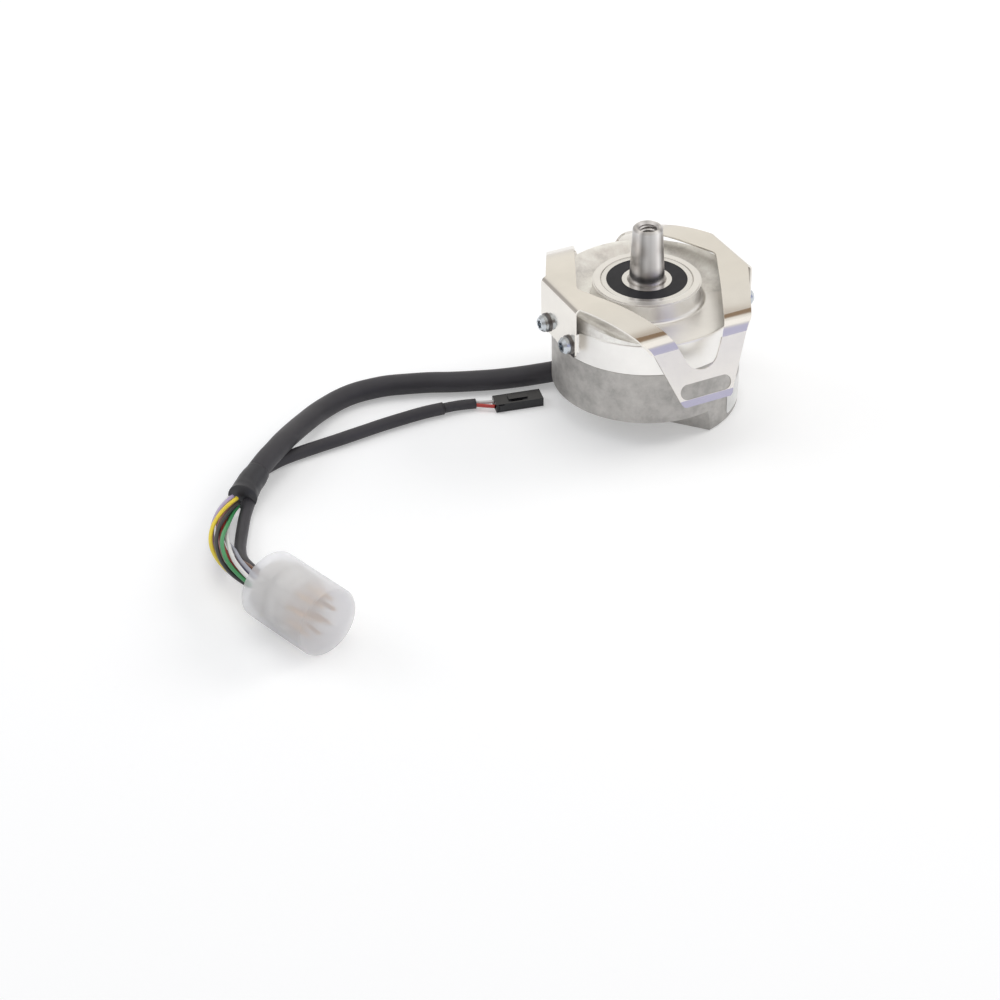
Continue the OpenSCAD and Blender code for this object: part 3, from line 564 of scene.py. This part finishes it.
def make_plate():
    """A bare sticker wrapped round the cover."""
    r = -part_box("rear_cover")[0][0] / MM
    half = math.radians(PLATE_TO - PLATE_FROM) * r / 2
    mid = math.radians(PLATE_TO + PLATE_FROM) / 2
    verts, faces = [], []
    for i in range(PLATE_STEPS + 1):
        u = half * math.sin(math.pi * (i / PLATE_STEPS - 0.5))
        edge = max(0.0, PLATE_ROUND - (half - abs(u)))
        cut = PLATE_ROUND - math.sqrt(max(0.0, PLATE_ROUND ** 2 - edge ** 2))
        a = mid + u / r
        for z in (PLATE_LOW + cut, PLATE_HIGH - cut):
            for out in (r + PLATE_GAP, r + PLATE_T):
                verts.append(Vector((out * math.cos(a), out * math.sin(a), z)) * MM)
    for i in range(PLATE_STEPS):
        for a, b in ((0, 1), (1, 3), (3, 2), (2, 0)):
            faces.append((4 * i + a, 4 * i + b, 4 * i + 4 + b, 4 * i + 4 + a))
    faces.append((0, 1, 3, 2))
    last = 4 * PLATE_STEPS
    faces.append((last, last + 1, last + 3, last + 2))
    add_mesh("bare_plate", verts, faces, MATS["plate_white"], "stator",
             smooth=False)


PLATEAU_Z, SHOULDER_IN, SHOULDER_OUT = 31.9, 15.4, 26.3
SHOULDER_FROM, SHOULDER_TO, SHOULDER_STEPS = -20, 250, 90
SHOULDER_RISE, SHOULDER_LIFT, SHOULDER_SUNK = 3.8, 0.02, 0.9
# the shoulder's section: radius, share of the rise
SHOULDER_ROWS = [(SHOULDER_IN, 0.0), (17.0, 0.02), (19.0, 0.16), (21.0, 0.45), (23.0, 0.8),
                 (24.6, 0.98), (25.8, 1.0), (SHOULDER_OUT, 0.82)]
# the share of its length over which each end of it slopes down
SLOPE_FIRST, SLOPE_LAST = 0.12, 0.22


def make_shoulder():
    """The cast top of the flange stands higher behind the shaft than before it.
    The photo shows its outer edge. Its form under the coupling is guessed."""
    steps = SHOULDER_STEPS
    base = PLATEAU_Z - SHOULDER_SUNK
    verts, faces = [], []
    n = len(SHOULDER_ROWS) + 2
    for i in range(steps + 1):
        t = i / steps
        a = math.radians(SHOULDER_FROM + (SHOULDER_TO - SHOULDER_FROM) * t)
        ends = min(1.0, t / SLOPE_FIRST, (1 - t) / SLOPE_LAST)
        rise = SHOULDER_RISE * ends * ends * (3 - 2 * ends)
        ring = [(r, PLATEAU_Z + SHOULDER_LIFT + rise * k) for r, k in SHOULDER_ROWS]
        ring += [(SHOULDER_OUT, base), (SHOULDER_IN, base)]
        for r, z in ring:
            verts.append(Vector((r * math.cos(a), r * math.sin(a), z)) * MM)
    for i in range(steps):
        for k in range(n):
            a, b = i * n + k, i * n + (k + 1) % n
            faces.append((a, b, b + n, a + n))
    faces.append(tuple(range(n)))
    faces.append(tuple(range(steps * n, (steps + 1) * n)))
    ob = add_mesh("flange_shoulder", verts, faces, MATS["pale_casting"], "stator")
    ob.modifiers.new("edges", "EDGE_SPLIT").split_angle = math.radians(40)


make_thread()
make_plate()
make_shoulder()

# ------------------------------------------------------ floor and lights

FLOOR_HALF, FLOOR_DROP = 6.0, 0.0002
# the floor's own glow where it is seen or reflected: (distance, strength)
GLOW_NEAR, GLOW_FAR = (0.3, 0.29), (1.4, 0.66)


def make_floor():
    s = FLOOR_HALF
    me = bpy.data.meshes.new("floor")
    me.from_pydata([(-s, -s, 0), (s, -s, 0), (s, s, 0), (-s, s, 0)], [], [(0, 1, 2, 3)])
    ob = bpy.data.objects.new("floor", me)
    bpy.context.collection.objects.link(ob)
    ob.location.z = -FLOOR_DROP
    mat = bpy.data.materials.new("floor_white")
    mat.use_nodes = True
    t = mat.node_tree
    t.nodes.clear()
    out = t.nodes.new("ShaderNodeOutputMaterial")
    add = t.nodes.new("ShaderNodeAddShader")
    dif = t.nodes.new("ShaderNodeBsdfDiffuse")
    dif.inputs["Color"].default_value = (0.80, 0.80, 0.795, 1)
    glow = t.nodes.new("ShaderNodeEmission")
    glow.inputs["Color"].default_value = (1, 1, 0.995, 1)
    ray = t.nodes.new("ShaderNodeLightPath")
    seen = t.nodes.new("ShaderNodeMath")
    seen.operation = "MAXIMUM"
    both = t.nodes.new("ShaderNodeMath")
    both.operation = "MAXIMUM"
    power = t.nodes.new("ShaderNodeMath")
    power.operation = "MULTIPLY"
    # the floor stays white where the lamps no longer reach it
    place = t.nodes.new("ShaderNodeTexCoord")
    far = t.nodes.new("ShaderNodeVectorMath")
    far.operation = "LENGTH"
    glow_there = t.nodes.new("ShaderNodeMapRange")
    for end, (distance, strength) in (("Min", GLOW_NEAR), ("Max", GLOW_FAR)):
        glow_there.inputs["From " + end].default_value = distance
        glow_there.inputs["To " + end].default_value = strength
    t.links.new(place.outputs["Object"], far.inputs[0])
    t.links.new(far.outputs["Value"], glow_there.inputs["Value"])
    t.links.new(glow_there.outputs["Result"], power.inputs[1])
    t.links.new(ray.outputs["Is Camera Ray"], seen.inputs[0])
    t.links.new(ray.outputs["Is Glossy Ray"], seen.inputs[1])
    t.links.new(seen.outputs[0], both.inputs[0])
    t.links.new(ray.outputs["Is Transmission Ray"], both.inputs[1])
    t.links.new(both.outputs[0], power.inputs[0])
    t.links.new(power.outputs[0], glow.inputs["Strength"])
    t.links.new(dif.outputs[0], add.inputs[0])
    t.links.new(glow.outputs[0], add.inputs[1])
    t.links.new(add.outputs[0], out.inputs["Surface"])
    me.materials.append(mat)


# What the metal reflects: a white tent that is dim on the camera's side.
# Its walls: degrees round from the camera's right, colour.
AROUND = [(0, (1.00, 0.99, 0.98)), (22, (0.95, 0.93, 0.90)), (45, (0.50, 0.47, 0.44)),
          (62, (0.80, 0.77, 0.72)), (90, (0.93, 0.90, 0.84)), (122, (0.86, 0.83, 0.78)),
          (146, (0.42, 0.40, 0.39)), (168, (0.70, 0.68, 0.66)), (192, (1.02, 1.01, 1.0)),
          (214, (0.96, 0.96, 0.97)), (236, (0.45, 0.42, 0.40)), (268, (0.24, 0.20, 0.18)),
          (296, (0.34, 0.30, 0.28)), (316, (0.62, 0.60, 0.64)), (338, (0.90, 0.90, 0.92))]
# Spots in that tent: direction, where the edge starts and ends in degrees, colour.
SPOTS = [((0.28, 0.20, 0.94), 10, 17, (0.30, 0.21, 0.14)),
         ((0.54, -0.33, 0.775), 11, 16, (1.12, 1.10, 1.08)),
         ((0.69, -0.67, 0.27), 13, 24, (0.57, 0.57, 0.78))]


def make_world():
    w = bpy.data.worlds.new("studio")
    bpy.context.scene.world = w
    w.use_nodes = True
    t = w.node_tree
    t.nodes.clear()

    def node(kind, *inputs, **settings):
        n = t.nodes.new(kind)
        for key, value in settings.items():
            setattr(n, key, value)
        for i, v in enumerate(inputs):
            if isinstance(v, bpy.types.NodeSocket):
                t.links.new(v, n.inputs[i])
            else:
                n.inputs[i].default_value = v
        return n

    def ramp(fac, stops):
        r = node("ShaderNodeValToRGB", fac)
        e = r.color_ramp.elements
        while len(e) < len(stops):
            e.new(0.5)
        for el, (pos, col) in zip(e, stops):
            el.position, el.color = pos, (*col, 1)
        return r.outputs["Color"]

    def blend(fac, a, b):
        m = node("ShaderNodeMix", data_type="RGBA")
        t.links.new(fac, m.inputs["Factor"])
        for key, v in (("A", a), ("B", b)):
            socket = [i for i in m.inputs if i.name == key and i.type == "RGBA"][0]
            if isinstance(v, bpy.types.NodeSocket):
                t.links.new(v, socket)
            else:
                socket.default_value = (*v, 1)
        return [o for o in m.outputs if o.type == "RGBA"][0]

    coord = node("ShaderNodeTexCoord").outputs["Generated"]
    turned = node("ShaderNodeVectorRotate", coord, rotation_type="Z_AXIS")
    turned.inputs["Angle"].default_value = TURN_ANGLE
    turned = turned.outputs[0]
    parts = node("ShaderNodeSeparateXYZ", turned)
    angle = node("ShaderNodeMath", parts.outputs["Y"], parts.outputs["X"],
                 operation="ARCTAN2").outputs[0]
    turn = node("ShaderNodeMath", angle, 1 / (2 * math.pi), operation="MULTIPLY").outputs[0]
    turn = node("ShaderNodeMath", node("ShaderNodeMath", turn, 1.0, operation="ADD").outputs[0],
                operation="FRACT").outputs[0]
    walls = ramp(turn, [(a / 360, c) for a, c in AROUND] + [(1.0, AROUND[0][1])])
    high = ramp(parts.outputs["Z"], [(0.55, (0, 0, 0)), (0.9, (1, 1, 1))])
    low = ramp(parts.outputs["Z"], [(0.0, (1, 1, 1)), (0.16, (0, 0, 0))])
    room = blend(high, walls, (0.92, 0.90, 0.86))
    room = blend(low, room, (0.80, 0.78, 0.76))
    for place, start, end, colour in SPOTS:
        v = Vector(place).normalized()
        near = node("ShaderNodeVectorMath", turned, tuple(v), operation="DOT_PRODUCT")
        size = node("ShaderNodeMapRange", near.outputs["Value"],
                    math.cos(math.radians(end)), math.cos(math.radians(start)), 0.0, 1.0,
                    interpolation_type="SMOOTHSTEP")
        room = blend(size.outputs["Result"], room, colour)

    ray = node("ShaderNodeLightPath")
    seen = node("ShaderNodeMath", ray.outputs["Is Camera Ray"],
                ray.outputs["Is Transmission Ray"], operation="MAXIMUM").outputs[0]
    plain = node("ShaderNodeBackground", (0.95, 0.96, 1.0, 1), 0.50).outputs[0]
    white = node("ShaderNodeBackground", (1, 1, 1, 1), 1.0).outputs[0]
    tent = node("ShaderNodeBackground", room, 1.0).outputs[0]
    glossy = node("ShaderNodeMixShader", ray.outputs["Is Glossy Ray"], plain, tent)
    both = node("ShaderNodeMixShader", seen, glossy.outputs[0], white)
    node("ShaderNodeOutputWorld", both.outputs[0])


def make_lamp(name, place, size, power, color):
    data = bpy.data.lights.new(name, "AREA")
    data.shape = "RECTANGLE"
    data.size, data.size_y = size
    data.energy = power
    data.color = color
    ob = bpy.data.objects.new(name, data)
    bpy.context.collection.objects.link(ob)
    ob.location = place
    ob.visible_glossy = False
    ob.rotation_euler = (LAMP_TARGET - place).to_track_quat("-Z", "Y").to_euler()


# Name, place in the camera's axes, size, power, colour.
LAMPS = [("key_right", (0.75, 0.28, 0.55), (0.5, 0.4), 3.0, (1.0, 0.98, 0.95)),
         ("key_left", (-0.85, 0.22, 0.60), (0.6, 0.5), 1.8, (0.95, 0.97, 1.0)),
         ("top", (-0.05, 0.15, 1.0), (0.7, 0.7), 2.6, (1.0, 0.99, 0.97))]
LAMP_TARGET = Vector((0, 0, 0.02))

make_floor()
make_world()
for name, place, size, power, color in LAMPS:
    make_lamp(name, TURN @ Vector(place), size, power, color)

bpy.context.scene.view_settings.view_transform = "Standard"
